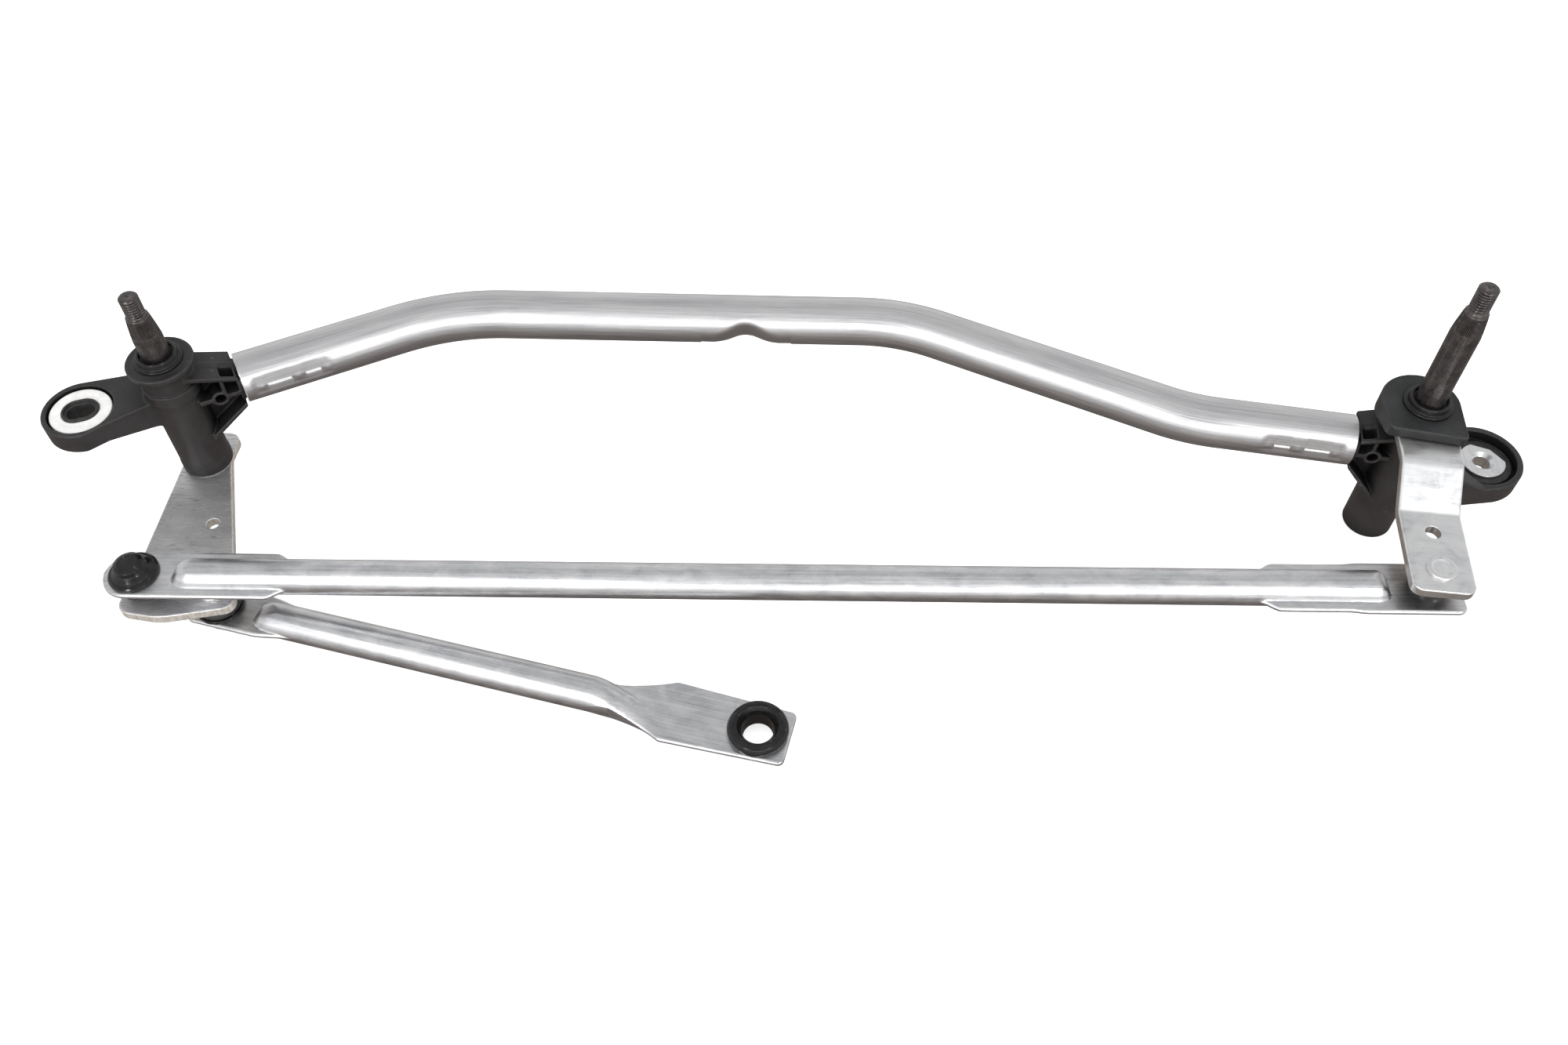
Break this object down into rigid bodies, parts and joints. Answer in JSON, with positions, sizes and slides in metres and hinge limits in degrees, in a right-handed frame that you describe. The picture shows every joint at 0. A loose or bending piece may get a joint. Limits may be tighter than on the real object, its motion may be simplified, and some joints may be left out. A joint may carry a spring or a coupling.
{
  "type": "windshield wiper linkage",
  "caption": "Windshield wiper linkage: a bent crossbar tube with moulded pivot housings, threaded wiper spindles, levers, a long connecting rod and a drive rod for the motor crank.",
  "frame": {"origin": "on the left spindle axis, at the middle of its M8 thread", "axes": "+X from the left spindle to the right spindle, +Y from the rods towards the crossbar, +Z along both spindles towards their threads"},
  "size_m": [0.6402, 0.2159, 0.141],
  "materials": {
    "drawn_aluminium": "drawn, lengthwise streaks",
    "housing_nylon": "satin glass-filled nylon",
    "cover_plastic": "satin moulded plastic",
    "gloss_black_plastic": "greased gloss black",
    "white_plastic": "satin white acetal",
    "seal_rubber": "matt black rubber",
    "sintered_bronze": "oil-filled sintered bronze",
    "bright_zinc": "bright zinc plate",
    "zinc_plated_steel": "dull zinc plate",
    "dark_spindle_steel": "phosphated, oiled"
  },
  "bodies": {
    "frame": {"crossbar_tube": "drawn_aluminium", "left_pivot_housing": "housing_nylon", "right_pivot_housing": "housing_nylon", "left_lower_bush": "sintered_bronze", "left_upper_bush": "sintered_bronze", "right_lower_bush": "sintered_bronze", "right_upper_bush": "sintered_bronze", "left_o_ring": "seal_rubber", "right_o_ring": "seal_rubber", "left_ear_washer": "white_plastic", "left_ear_grommet": "seal_rubber", "right_ear_grommet": "seal_rubber", "right_ear_sleeve": "bright_zinc"},
    "left_spindle": {"left_spindle_shaft": "dark_spindle_steel", "left_spindle_lever": "zinc_plated_steel", "left_rod_ball_stud": "bright_zinc", "left_drive_ball_stud": "bright_zinc", "left_thrust_washer": "white_plastic", "left_top_washer": "bright_zinc", "left_retaining_ring": "dark_spindle_steel", "left_splash_collar": "gloss_black_plastic"},
    "right_spindle": {"right_spindle_shaft": "dark_spindle_steel", "right_spindle_lever": "bright_zinc", "right_rod_ball_stud": "bright_zinc", "right_thrust_washer": "white_plastic", "right_bottom_washer": "bright_zinc", "right_retaining_ring": "dark_spindle_steel", "right_lever_cover": "cover_plastic", "right_splash_collar": "gloss_black_plastic"},
    "long_rod": {"long_connecting_rod": "zinc_plated_steel", "long_rod_left_socket": "gloss_black_plastic", "long_rod_right_socket": "gloss_black_plastic", "long_rod_left_boot": "seal_rubber", "long_rod_right_boot": "seal_rubber"},
    "drive_rod_body": {"drive_rod": "zinc_plated_steel", "drive_rod_lever_socket": "gloss_black_plastic", "drive_rod_boot": "seal_rubber", "motor_crank_socket": "gloss_black_plastic"}
  },
  "joints": [
    {"name": "left_spindle_turn", "type": "hinge", "parent": "frame", "child": "left_spindle", "pos_m": [0, 0, -0.0646], "axis": [0, 0, 1], "range_deg": [-40, 45]},
    {"name": "right_spindle_turn", "type": "hinge", "parent": "frame", "child": "right_spindle", "pos_m": [0.5307, 0, -0.0646], "axis": [0, 0, 1], "range_deg": [-40, 45]},
    {"name": "long_rod_pivot", "type": "hinge", "parent": "left_spindle", "child": "long_rod", "pos_m": [-0.0065, -0.0722, -0.0849], "axis": [0, 0, 1], "range_deg": [-45, 40]},
    {"name": "drive_rod_pivot", "type": "hinge", "parent": "left_spindle", "child": "drive_rod_body", "pos_m": [0.0232, -0.0724, -0.1064], "axis": [0, 0, 1], "range_deg": [-60, 60]}
  ],
  "couplings": [
    {"joint": "right_spindle_turn", "follows": "left_spindle_turn", "ratio": 1},
    {"joint": "long_rod_pivot", "follows": "left_spindle_turn", "ratio": -1}
  ]
}
